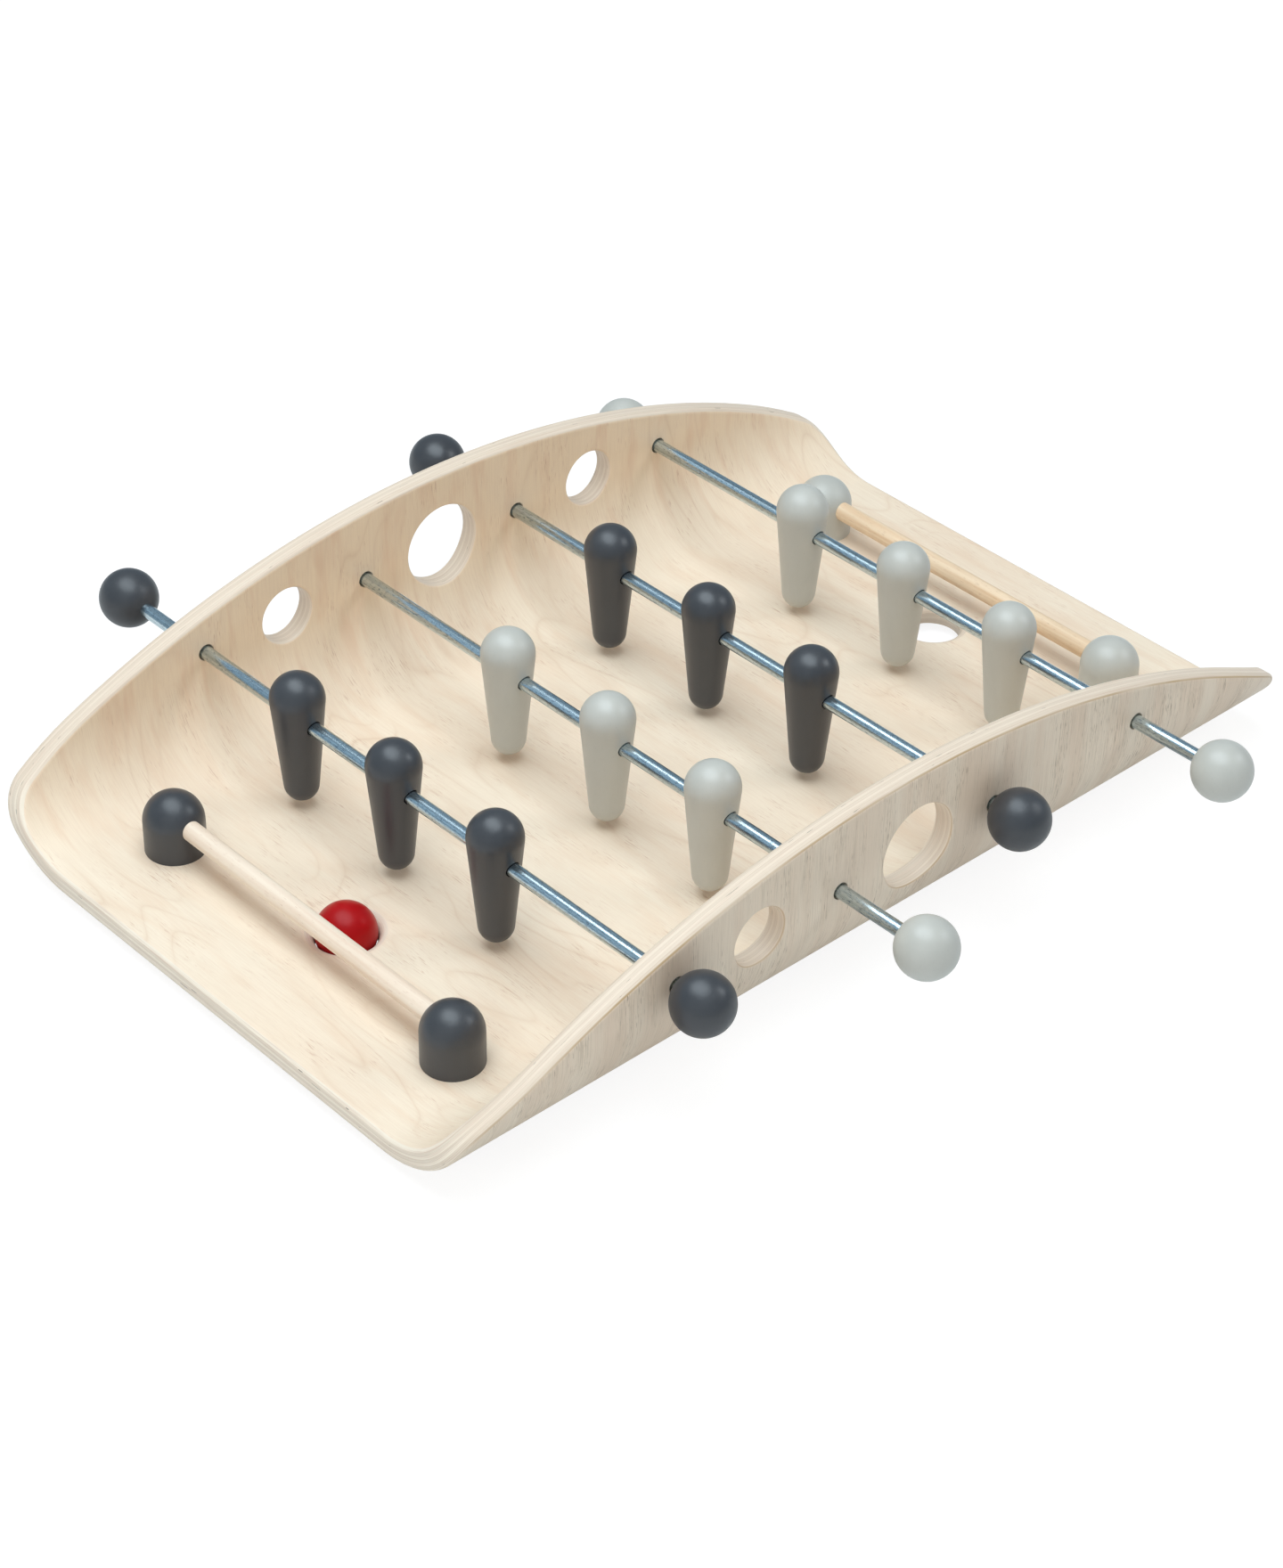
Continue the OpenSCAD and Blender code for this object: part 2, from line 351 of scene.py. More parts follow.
# %% Bare dowels, with the grain along them
def dowel_wood(name, pale, ring, pore):
    material, tree, shader = new_material(name, Specular_IOR_Level=0.3)
    bands = noise(tree, (3.5, 110, 3.5), 1, detail=2, distortion=0.3)
    fibres = noise(tree, (0.5, 18, 0.5), 2)
    pores = noise(tree, (0.4, 4.5, 0.4), 3, detail=1)
    tone = stain(tree, pale, ring, bands, 0.40, 0.66)
    tone = stain(tree, tone, ring, fibres, 0.45, 0.75, 0.3)
    tone = stain(tree, tone, pore, pores, 0.67, 0.73, 0.5)
    coat(tree, shader, tone, 0.52, fibres, 0.04 * MM, 0.5)
    return material


# %% Zinc-plated steel, with drawing streaks along Y
DULL_ZINC, BRIGHT_ZINC = (0.45, 0.53, 0.56), (0.67, 0.77, 0.81)
SPOT, BLOTCH = (0.15, 0.20, 0.26), (0.50, 0.52, 0.45)


def plated_steel(name):
    material, tree, shader = new_material(name, Metallic=1.0)
    streaks = noise(tree, (1.1, 300, 1.1), 1, detail=2, roughness=0.5)
    spots = noise(tree, (0.6, 2.4, 0.6), 2)
    blotches = noise(tree, (6, 40, 6), 3, detail=2)
    tone = stain(tree, DULL_ZINC, BRIGHT_ZINC, streaks, 0.34, 0.66)
    tone = stain(tree, tone, SPOT, spots, 0.53, 0.66, 0.70)
    tone = stain(tree, tone, BLOTCH, blotches, 0.5, 0.75, 0.25)
    rough = spread(tree, spots, 0.3, 0.7, 0.17, 0.28)
    coat(tree, shader, tone, rough, plus(tree, streaks, spots), 0.02 * MM, 0.7)
    return material


# %% Matt rubber
def rubber():
    material, tree, shader = new_material("grey_rubber")
    dust = noise(tree, (3, 3, 3), 1, detail=4)
    tone = stain(tree, (0.060, 0.060, 0.062), (0.105, 0.103, 0.10), dust, 0.4, 0.7)
    coat(tree, shader, tone, 0.8, dust, 0.05 * MM, 0.4)
    return material


# %% Make the materials
PLYWOOD = plywood()
DARK = painted_wood("charcoal_paint", (0.044, 0.046, 0.052), (0.055, 0.057, 0.063), 0.36)
LIGHT = painted_wood("grey_green_paint", (0.516, 0.518, 0.478), (0.556, 0.558, 0.518), 0.36)
RED = red_lacquer()
PALE_DOWEL = dowel_wood("pale_dowel", (0.90, 0.77, 0.63), (0.82, 0.655, 0.515), (0.60, 0.42, 0.30))
TAN_DOWEL = dowel_wood("tan_dowel", (0.88, 0.69, 0.49), (0.76, 0.53, 0.33), (0.46, 0.27, 0.15))
RUBBER = rubber()
STEEL = plated_steel("zinc_plated_steel")
SCREW_STEEL = plated_steel("screw_steel")
print("Materials:", [m.name for m in bpy.data.materials if m.use_nodes])

# %% [markdown]
# ## Placing finished pieces
# Each finished piece stands for one or more nodes of the model. It moves with their body
# and hides them. One function says all of that, so no piece forgets a part of it. It also
# prints how many faces the piece has.

# %% Hand a piece over to the model
def hand_over(piece, body, slot, *nodes):
    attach(piece, body)
    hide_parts(*nodes)
    print(piece.name, "stands for", len(nodes), "nodes with", len(piece.data.polygons), "faces")


def object_from(name, data, material=None):
    piece = bpy.data.objects.new(name, data)
    bpy.context.scene.collection.objects.link(piece)
    if material is not None:
        data.materials.append(material)
    return piece


def object_from_work(mesh, name, material):
    """Turns what mesh code has made into an object, and frees the work."""
    data = bpy.data.meshes.new(name)
    mesh.to_mesh(data)
    mesh.free()
    return object_from(name, data, material)


def smooth_faces(mesh):
    for face in mesh.faces:
        face.smooth = True


def join_rings(mesh, rings):
    """Makes quads between each closed ring of vertices and the next."""
    for upper, lower in zip(rings, rings[1:]):
        for k in range(len(upper)):
            after = (k + 1) % len(upper)
            mesh.faces.new((upper[k], upper[after], lower[after], lower[k]))


# %% [markdown]
# ## The tray, 1: where a point of the sheet lies
# The real tray is a flat stack of veneers, pressed into a U and then sawn to an arched
# outline. A grid with a boolean would do, but its edges could hardly be softened. So the
# tray is worked out on the flat sheet: every point has a place along the board, a way
# across the sheet from the middle of the floor, and a depth. One function bends it.

# %% Sizes of the tray, from the model and the sheet. BEND, CORNER and ARCH are radii
UNDERSIDE = tray_low.z
FLOOR_Z = UNDERSIDE + PLY
WALL_HEIGHT = tray_high.z - UNDERSIDE
BEND = 44 * MM
END_HEIGHT = 31 * MM
CORNER = 25 * MM
BEND_MIDDLE = BEND + PLY / 2
BEND_TOP = BEND + PLY
FLOOR_HALF = HALF_WIDTH - BEND_TOP
arch_rise = WALL_HEIGHT - END_HEIGHT
ARCH = (HALF_LENGTH**2 + arch_rise**2) / (2 * arch_rise)
ARCH_Z = WALL_HEIGHT - ARCH
CORNER_X = HALF_LENGTH - CORNER
CORNER_Z = ARCH_Z + sqrt((ARCH - CORNER) ** 2 - CORNER_X**2)
ARCH_HALF = CORNER_X * ARCH / (ARCH - CORNER)
print("Arch radius", round(ARCH / MM), "mm, floor half width", round(FLOOR_HALF / MM), "mm")


# %% Bend the sheet
def bend(x, across, depth):
    """The bent place of a point of the flat sheet, with heights from the underside.
    Depth 0 is the inner face."""
    side = 1 if across >= 0 else -1
    way = abs(across)
    if way <= FLOOR_HALF:
        return x, across, PLY - depth
    reach = BEND + depth
    angle = (way - FLOOR_HALF) / BEND_MIDDLE
    if angle <= pi / 2:
        return x, side * (FLOOR_HALF + reach * sin(angle)), BEND_TOP - reach * cos(angle)
    return x, side * (FLOOR_HALF + reach), BEND_TOP + (angle - pi / 2) * BEND_MIDDLE


def way_at_height(z, depth):
    """How far across the sheet a point of the wall or the bend lies, from its height."""
    if z >= BEND_TOP:
        return FLOOR_HALF + BEND_MIDDLE * pi / 2 + z - BEND_TOP
    return FLOOR_HALF + BEND_MIDDLE * acos((BEND_TOP - z) / (BEND + depth))


# %% [markdown]
# ## The tray, 2: softened edges
# An edge is a row of stations. At each one, a small profile runs from the inner face, over
# a rounded corner, down through the layers, and over the other corner to the outer face.
# A profile is a list of pairs: how far in from the saw cut, and how deep. The first and
# last pair repeat the corner's start a little further in, which keeps the shading of the
# big faces from bleeding into the rounding.

# %% Profiles through the thickness
HOLD = 0.5 * MM
BORE_SOFT = 0.6 * MM


def round_corner(radius, steps):
    turns = [pi / 2 * k / steps for k in range(steps + 1)]
    return [(radius + HOLD, 0.0)] + [(radius * (1 - sin(t)), radius * (1 - cos(t))) for t in turns]


def turned_over(profile):
    return [(inset, PLY - depth) for inset, depth in reversed(profile)]


def edge_profile(radius, steps):
    corner = round_corner(radius, steps)
    between = [(0.0, radius + (PLY - 2 * radius) * k / 4) for k in (1, 2, 3)]
    return corner + between + turned_over(corner)


def dished_profile(width, deep, steps=7):
    """The ball hole's rim: an arc that leaves the floor level and ends at the bore."""
    radius = (width**2 + deep**2) / (2 * deep)
    turns = [asin(width / radius) * k / steps for k in range(steps + 1)]
    arc = [(width - radius * sin(t), radius * (1 - cos(t))) for t in turns]
    return [(width + HOLD, 0.0)] + arc + [(0.0, PLY / 2)] + turned_over(round_corner(BORE_SOFT, 3))


# %% Stations: each gives a place on the sheet for an inset and a depth
def station_on_arc(x, z, radius, turn, end, side):
    """On the arched outline, `turn` away from the top of an arc round x and z."""
    def place(inset, depth):
        reach = radius - inset
        return end * (x + reach * sin(turn)), side * way_at_height(z + reach * cos(turn), depth)
    return place


def station_on_end(end, side, share):
    """Down the bend at the end of the board: share 1 at the corner's end, 0 at the floor."""
    def place(inset, depth):
        turn = share * acos((BEND_TOP - CORNER_Z) / (BEND + depth))
        return end * (HALF_LENGTH - inset), side * (FLOOR_HALF + BEND_MIDDLE * turn)
    return place


def station_on_floor_end(end, y):
    def place(inset, depth):
        return end * (HALF_LENGTH - inset), y
    return place


def station_on_wall_hole(x, z, side, radius, turn):
    def place(inset, depth):
        reach = radius + inset
        return x + reach * cos(turn), side * way_at_height(z + reach * sin(turn), depth)
    return place


def station_on_floor_hole(x, y, radius, turn):
    def place(inset, depth):
        reach = radius + inset
        return x + reach * cos(turn), y + reach * sin(turn)
    return place


# %% The outline, once round the board
ARCH_STEPS, CORNER_STEPS, FLOOR_STEPS = 30, 12, 20


def half_outline(end):
    """From the top of the left wall, down one end, and up to the top of the right wall."""
    arch_end = asin(ARCH_HALF / ARCH)
    wall = {}
    for side in (1, -1):
        stations = []
        for k in range(ARCH_STEPS + 1):
            turn = arch_end * k / ARCH_STEPS
            stations.append(station_on_arc(0.0, ARCH_Z, ARCH, turn, end, side))
        for k in range(1, CORNER_STEPS + 1):
            turn = arch_end + (pi / 2 - arch_end) * k / CORNER_STEPS
            stations.append(station_on_arc(CORNER_X, CORNER_Z, CORNER, turn, end, side))
        for k in range(1, CORNER_STEPS + 1):
            stations.append(station_on_end(end, side, 1 - k / CORNER_STEPS))
        wall[side] = stations
    ways = [FLOOR_HALF * (1 - 2 * k / FLOOR_STEPS) for k in range(1, FLOOR_STEPS)]
    return wall[1] + [station_on_floor_end(end, way) for way in ways] + wall[-1][::-1]


def outline():
    return half_outline(1) + half_outline(-1)[-2:0:-1]


# %% [markdown]
# ## The tray, 3: holes
# The rods' bores, the lightening holes and the ball holes are loops of stations too, each
# with its own profile. The screws under the posts get blind pockets in the outer face.
# The places come from the model: the bores sit on the rods, and the small lightening holes
# lie midway between two rods. One wall has a small hole fewer than the other.

# %% Holes of the tray, each by its radius
ROD_X = [centre_of(f"rod_{i}")[0] for i in (1, 2, 3, 4)]
ROD_Z = centre_of("rod_1")[2]
ROD_RADIUS = half_size("rod_1")[2]
BORE_Z = ROD_Z - UNDERSIDE
BORE_GAP = 0.8 * MM
LARGE_HOLE, SMALL_HOLE = 22 * MM, 15 * MM
GOAL_X, POST_Y = centre_of("light_left_post")[:2]
POST_RADIUS = half_size("light_left_post")[0]
BALL_HOLE_X = -centre_of("ball")[0]
BALL_RADIUS = half_size("ball")[2]
BALL_HOLE = BALL_RADIUS + 0.15 * MM
RIM_WIDTH, RIM_DEEP = 6 * MM, 4 * MM
SCREW_RADIUS, SCREW_HEAD = 2 * MM, 4 * MM
SCREW_GAP = 0.05 * MM
POCKET_ROOF = 1 * MM
OUTLINE_EDGE = edge_profile(3.0 * MM, 7)
BORE_EDGE, HOLE_EDGE = edge_profile(0.3 * MM, 3), edge_profile(1.4 * MM, 5)
print("Bores at", [round(x / MM) for x in ROD_X], "mm, ball holes at", round(BALL_HOLE_X / MM))


def ring(maker, *place, count):
    return [maker(*place, 2 * pi * k / count) for k in range(count)]


# %% Loops of the outline, the holes and the pockets
def tray_loops():
    """Pairs of stations and profile: first the outline, then every hole."""
    loops = [(outline(), OUTLINE_EDGE)]
    between = [(a + b) / 2 for a, b in zip(ROD_X, ROD_X[1:])]
    for side in (1, -1):
        holes = [(x, ROD_RADIUS + BORE_GAP, 40, BORE_EDGE) for x in ROD_X]
        holes.append((between[1], LARGE_HOLE, 80, HOLE_EDGE))
        for x in (between[0], between[2]) if side == 1 else between[:1]:
            holes.append((x, SMALL_HOLE, 64, HOLE_EDGE))
        for x, radius, count, profile in holes:
            stations = ring(station_on_wall_hole, x, BORE_Z, side, radius, count=count)
            loops.append((stations, profile))
        ball_hole = ring(station_on_floor_hole, side * BALL_HOLE_X, 0.0, BALL_HOLE, count=80)
        loops.append((ball_hole, dished_profile(RIM_WIDTH, RIM_DEEP)))
    return loops


def pocket_loops():
    """Screw pockets: the profile starts at the outer face and goes up into the floor."""
    shank, cone = SCREW_RADIUS + SCREW_GAP, SCREW_HEAD - SCREW_RADIUS
    profile = [(cone + HOLD, PLY), (cone, PLY), (0.0, PLY - cone), (0.0, POCKET_ROOF)]
    places = [(end * GOAL_X, side * POST_Y) for end in (1, -1) for side in (1, -1)]
    return [(ring(station_on_floor_hole, x, y, shank, count=32), profile) for x, y in places]


# %% [markdown]
# ## The tray, 4: faces
# Each face of the sheet is filled by a triangulation that keeps to the loops. Extra points
# inside make it follow the bends: a row every three degrees there, and wider rows on the
# flats. Points too close to an edge or a hole are left out.

# %% Points inside a face
HOLE_MARGIN, EDGE_MARGIN = 2.2 * MM, 3.7 * MM
BEND_ROWS, WALL_ROWS, FLOOR_ROWS, COLUMNS = 30, 9, 6, 22


def rows_across():
    """Ways across the sheet at which a face gets a row of points."""
    bend_step = pi / 2 / BEND_ROWS * BEND_MIDDLE
    bend_ways = [FLOOR_HALF + bend_step * k for k in range(BEND_ROWS + 1)]
    wall_ways = [bend_ways[-1] + 6 * MM * k for k in range(1, WALL_ROWS + 1)]
    half = [FLOOR_HALF * k / FLOOR_ROWS for k in range(1, FLOOR_ROWS)] + bend_ways + wall_ways
    return [-way for way in reversed(half)] + [0.0] + half


def inside_outline(x, across, depth, margin):
    z = bend(x, across, depth)[2]
    if abs(x) > HALF_LENGTH - margin:
        return False
    if abs(across) <= FLOOR_HALF or z <= CORNER_Z:
        return True
    if abs(x) > ARCH_HALF:
        return (abs(x) - CORNER_X) ** 2 + (z - CORNER_Z) ** 2 < (CORNER - margin) ** 2
    return x**2 + (z - ARCH_Z) ** 2 < (ARCH - margin) ** 2


def polygon_holds(polygon, x, y):
    """Even-odd test of a point in a closed polygon."""
    inside = False
    for (ax, ay), (bx, by) in zip(polygon, polygon[1:] + polygon[:1]):
        if (ay > y) != (by > y) and x < ax + (y - ay) / (by - ay) * (bx - ax):
            inside = not inside
    return inside


def hole_with_box(polygon):
    xs, ys = zip(*polygon)
    return min(xs), max(xs), min(ys), max(ys), polygon


def near_hole(hole, x, across, margin):
    low_x, high_x, low_y, high_y, polygon = hole
    if not (low_x - margin < x < high_x + margin and low_y - margin < across < high_y + margin):
        return False
    if polygon_holds(polygon, x, across):
        return True
    return min((px - x) ** 2 + (py - across) ** 2 for px, py in polygon) < margin**2


# %% Fill one face
INSIDE_ONLY, SAME_POINT = 1, 1e-9


def sheet_vertex(mesh, x, across, depth):
    """A vertex that remembers its place on the flat sheet."""
    vertex = mesh.verts.new(Vector(bend(x, across, depth)) + Vector((0.0, 0.0, UNDERSIDE)))
    vertex[mesh.verts.layers.float_vector["sheet"]] = Vector((x, across, depth))
    return vertex


def fill_face(mesh, loops, depth):
    """Triangulates a face between the given loops of vertices."""
    sheet = mesh.verts.layers.float_vector["sheet"]
    points, edges, owners = [], [], []
    rims = [[tuple(v[sheet][:2]) for v in loop] for loop in loops]
    holes = [hole_with_box(rim) for rim in rims[1:]]
    for loop, rim in zip(loops, rims):
        first = len(points)
        edges += [(first + k, first + (k + 1) % len(rim)) for k in range(len(rim))]
        points += rim
        owners += loop
    for across in rows_across():
        for column in range(-COLUMNS, COLUMNS + 1):
            x = column * HALF_LENGTH / (COLUMNS + 0.5)
            if not inside_outline(x, across, depth, EDGE_MARGIN):
                continue
            if not any(near_hole(hole, x, across, HOLE_MARGIN) for hole in holes):
                points.append((x, across))
                owners.append(sheet_vertex(mesh, x, across, depth))
    flat_points = [Vector(p) for p in points]
    filled = delaunay_2d_cdt(flat_points, edges, [], INSIDE_ONLY, SAME_POINT)
    places, _, faces, origins = filled[:4]
    for face in faces:
        x = sum(places[k].x for k in face) / 3
        across = sum(places[k].y for k in face) / 3
        if not any(near_hole(hole, x, across, 0.0) for hole in holes):
            corners = [owners[origins[k][0]] for k in face]
            mesh.faces.new(corners if depth == 0 else corners[::-1])


# %% Sweep the loops through the thickness and close the tray
def sweep_loop(mesh, stations, profile):
    """Makes the quads of one edge and returns its first and last ring of vertices."""
    rings = []
    for inset, depth in profile:
        rings.append([sheet_vertex(mesh, *place(inset, depth), depth) for place in stations])
    join_rings(mesh, rings)
    return rings[0], rings[-1]


def make_tray():
    mesh = bmesh.new()
    mesh.verts.layers.float_vector.new("sheet")
    inner, outer = zip(*(sweep_loop(mesh, *loop) for loop in tray_loops()))
    pockets = [sweep_loop(mesh, *loop) for loop in pocket_loops()]
    for _, roof in pockets:
        mesh.faces.new(roof)
    fill_face(mesh, inner, 0.0)
    fill_face(mesh, [*outer, *(mouth for mouth, _ in pockets)], PLY)
    bmesh.ops.recalc_face_normals(mesh, faces=mesh.faces)
    smooth_faces(mesh)
    open_edges = sum(1 for e in mesh.edges if not e.is_manifold)
    print("Tray:", len(mesh.faces), "faces,", open_edges, "open edges")
    return object_from_work(mesh, "tray", PLYWOOD)


hand_over(make_tray(), "tray", "plywood", "board")

# %% [markdown]
# ## Turned pieces in Geometry Nodes
# The twelve players share one rule: a round head, a straight taper that touches both
# rounds without a corner, and a smaller round foot. Geometry Nodes suit that well. A
# straight curve gets its rule as a width at each point, and Curve to Mesh turns it like
# a lathe. The same tail then drills the bore, copies the piece along the rod, makes the
# copies real and sets the paint. Sizes are named inputs, so the tree serves every rod.

# %% Start a tree with named inputs
COPIES = {
    "Bore radius": "Float", "Bore length": "Float", "Bore middle": "Vector", "Copies": "Int",
    "First place": "Vector", "Step": "Vector", "Turn per copy": "Float", "Material": "Material",
}
CREASE = radians(32)
LYING = (pi / 2, 0, 0)
ROUND_SIDES, BORE_SIDES = 72, 40


def new_tree(name, sizes, others):
    """Returns the tree, the outputs that give its sizes in order, and all by their names."""
    tree = bpy.data.node_groups.new(name, "GeometryNodeTree")
    tree.interface.new_socket(name="Geometry", in_out="OUTPUT", socket_type="NodeSocketGeometry")
    for label, kind in {**dict.fromkeys(sizes, "Float"), **others}.items():
        tree.interface.new_socket(name=label, in_out="INPUT", socket_type="NodeSocket" + kind)
    named = tree.nodes.new("NodeGroupInput").outputs
    return tree, [named[label] for label in sizes], named


# %% The ends of the trees: drill, keep creases, copy, paint
def round_bar(tree, radius, length, sides=BORE_SIDES, **more):
    return shape(tree, "MeshCylinder", Vertices=sides, Radius=radius, Depth=length, **more)


def drill(tree, mesh, cutters):
    return shape(tree, "MeshBoolean", mesh, Mesh_2=cutters, operation="DIFFERENCE", solver="EXACT")


def keep_creases(tree, mesh):
    """Smooth faces, with an edge kept sharp where two meet at a large angle."""
    smooth = shape(tree, "SetShadeSmooth", mesh, domain="FACE")
    crease = calc(tree, "GREATER_THAN", shape(tree, "InputMeshEdgeAngle"), CREASE)
    sharp = {"Selection": crease, "Shade_Smooth": False}
    return shape(tree, "SetShadeSmooth", smooth, **sharp, domain="EDGE")


def copy_and_paint(tree, points, mesh, material, **rotation):
    copies = shape(tree, "InstanceOnPoints", points, Instance=mesh, **rotation)
    real = shape(tree, "RealizeInstances", copies)
    add(tree, "NodeGroupOutput", shape(tree, "SetMaterial", real, Material=material))


def drill_and_copy(tree, mesh, named, more_cutters=()):
    """The tail of everything that sits on a rod or holds a crossbar."""
    bore = round_bar(tree, named["Bore radius"], named["Bore length"])
    bore = shape(tree, "Transform", bore, Translation=named["Bore middle"], Rotation=LYING)
    drilled = keep_creases(tree, drill(tree, mesh, [bore, *more_cutters]))
    first, step = named["First place"], named["Step"]
    points = shape(tree, "MeshLine", Count=named["Copies"], Start_Location=first, Offset=step)
    turn = times(tree, shape(tree, "InputIndex"), named["Turn per copy"])
    copy_and_paint(tree, points, drilled, named["Material"], Rotation=vector(tree, z=turn))


# %% Run a tree and keep its plain mesh
def made_by(tree, name, values):
    """Runs a tree on an empty mesh with the given inputs and returns a plain object."""
    carrier = object_from(name + "_carrier", bpy.data.meshes.new(name + "_carrier"))
    modifier = carrier.modifiers.new("nodes", "NODES")
    modifier.node_group = tree
    identifiers = {s.name: s.identifier for s in tree.interface.items_tree if s.in_out == "INPUT"}
    for label, value in values.items():
        modifier[identifiers[label]] = value
    bpy.context.view_layer.update()
    evaluated = carrier.evaluated_get(bpy.context.evaluated_depsgraph_get())
    data = bpy.data.meshes.new_from_object(evaluated)
    data.name = name
    carrier.modifiers.remove(modifier)
    bpy.data.objects.remove(carrier)
    return object_from(name, data)


# %% A lathe: the rule gives a width and a height for each share of the way up
POLE_MERGE = 0.004 * MM


def turned(tree, rings, rule):
    line = shape(tree, "CurvePrimitiveLine")
    curve = shape(tree, "ResampleCurve", line, Count=rings + 1)
    width, height = rule(calc(tree, "DIVIDE", shape(tree, "InputIndex"), rings))
    placed = shape(tree, "SetPosition", curve, Position=vector(tree, z=height))
    circle = shape(tree, "CurvePrimitiveCircle", Resolution=ROUND_SIDES, Radius=1.0)
    lathe = shape(tree, "CurveToMesh", placed, circle, Scale=width, Fill_Caps=True)
    return shape(tree, "MergeByDistance", lathe, Distance=POLE_MERGE)


def on_round(tree, radius, turn):
    """How far out and how far up a point of a round lies, by its turn from level."""
    return [times(tree, radius, calc(tree, part, turn)) for part in ("COSINE", "SINE")]


def from_to(tree, share, first, last):
    return spread(tree, share, 0.0, 1.0, first, last)


# %% The turned player
FOOT_SHARE, HEAD_SHARE = 0.3, 0.6


def player_tree():
    sizes = ["Head radius", "Head height", "Foot radius", "Foot depth"]
    tree, (head, up, foot, down), named = new_tree("turned_player", sizes, COPIES)
    # The taper touches both rounds where their normals lean down by this angle
    slope = calc(tree, "DIVIDE", minus(tree, head, foot), plus(tree, up, down))
    lean_down = times(tree, calc(tree, "ARCSINE", slope), -1.0)

    def rule(share):
        foot_turn = spread(tree, share, 0.0, FOOT_SHARE, -pi / 2, lean_down)
        head_turn = spread(tree, share, HEAD_SHARE, 1.0, lean_down, pi / 2)
        taper = spread(tree, share, FOOT_SHARE, HEAD_SHARE)
        foot_out, foot_up = on_round(tree, foot, foot_turn)
        head_out, head_up = on_round(tree, head, head_turn)
        foot_up = minus(tree, foot_up, down)
        head_up = plus(tree, head_up, up)
        return from_to(tree, taper, foot_out, head_out), from_to(tree, taper, foot_up, head_up)

    drill_and_copy(tree, turned(tree, 60, rule), named)
    return tree


# %% Sizes of a player, read from its box in the model
FOOT_RADIUS, HEAD_RADIUS = 8.8 * MM, 13.55 * MM
player_low, player_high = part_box("rod_1_middle_player")
HEAD_UP = player_high.z - ROD_Z - HEAD_RADIUS
FOOT_DOWN = ROD_Z - player_low.z - FOOT_RADIUS
MOUTH_GAP = 0.45 * MM
print("A player reaches", round((ROD_Z - player_low.z) / MM, 1), "mm below its rod")

# %% Three players for each rod
PLAYER_TREE = player_tree()
DARK_TEAM, LIGHT_TEAM = (DARK, "dark_paint"), (LIGHT, "light_paint")
TEAM = {1: DARK_TEAM, 2: LIGHT_TEAM, 3: DARK_TEAM, 4: LIGHT_TEAM}


def make_players(number, material, slot):
    names = [f"rod_{number}_{place}_player" for place in ("left", "middle", "right")]
    first, second = (Vector(centre_of(name)) for name in names[:2])
    values = {
        "Head radius": HEAD_RADIUS, "Head height": HEAD_UP,
        "Foot radius": FOOT_RADIUS, "Foot depth": FOOT_DOWN,
        "Bore radius": ROD_RADIUS + MOUTH_GAP, "Bore length": 3 * HEAD_RADIUS,
        "Bore middle": (0.0, 0.0, 0.0), "Copies": 3, "First place": (first.x, first.y, ROD_Z),
        "Step": (0.0, second.y - first.y, 0.0), "Turn per copy": 0.0, "Material": material,
    }
    players = made_by(PLAYER_TREE, f"rod_{number}_players", values)
    hand_over(players, f"rod_{number}_figures", slot, *names)


for number, (material, slot) in TEAM.items():
    make_players(number, material, slot)

# %% [markdown]
# ## Knobs
# A knob is a ball with a blind bore that ends a little past its middle. Its poles lie on
# the rod's axis, so the bore cuts away one pole and leaves a clean rim. The second knob of
# a rod is the first one turned half round.

# %% Knobs, with the rod's end short of the bore's
ROD_SINK = 18 * MM
RUN_GAP, END_GAP = 0.05 * MM, 0.3 * MM


def knob_tree():
    tree, (radius,), named = new_tree("drilled_knob", ["Knob radius"], COPIES)
    sphere = shape(tree, "MeshUVSphere", Segments=ROUND_SIDES, Rings=40, Radius=radius)
    drill_and_copy(tree, shape(tree, "Transform", sphere, Rotation=LYING), named)
    return tree


KNOB_TREE = knob_tree()


def make_knobs(number, material, slot):
    left, right = (f"rod_{number}_{side}_knob" for side in ("left", "right"))
    radius = half_size(left)[2]
    # The box ends at the bore's mouth, so the middle comes from the outer pole
    left_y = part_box(left)[1].y - radius
    right_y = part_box(right)[0].y + radius
    values = {
        "Knob radius": radius, "Bore radius": ROD_RADIUS + RUN_GAP, "Bore length": 2 * radius,
        "Bore middle": (0.0, -2 * radius + ROD_SINK + END_GAP, 0.0),
        "Copies": 2, "First place": (centre_of(left)[0], left_y, ROD_Z),
        "Step": (0.0, right_y - left_y, 0.0), "Turn per copy": pi, "Material": material,
    }
    knobs = made_by(KNOB_TREE, f"rod_{number}_knobs", values)
    hand_over(knobs, f"rod_{number}_figures", slot, left, right)


for number, (material, slot) in TEAM.items():
    make_knobs(number, material, slot)

# %% [markdown]
# ## Goal posts
# A post is a cylinder with a half ball on top. Here the flat cap of a cylinder is wrapped
# up into the dome: each ring of the cap moves out and up along a quarter circle. The two
# posts of a goal face each other, and each has a blind bore for the crossbar and a pilot
# hole for its screw.

# %% Posts
def lifted(tree, mesh, height):
    return shape(tree, "Transform", mesh, vector(tree, z=height))


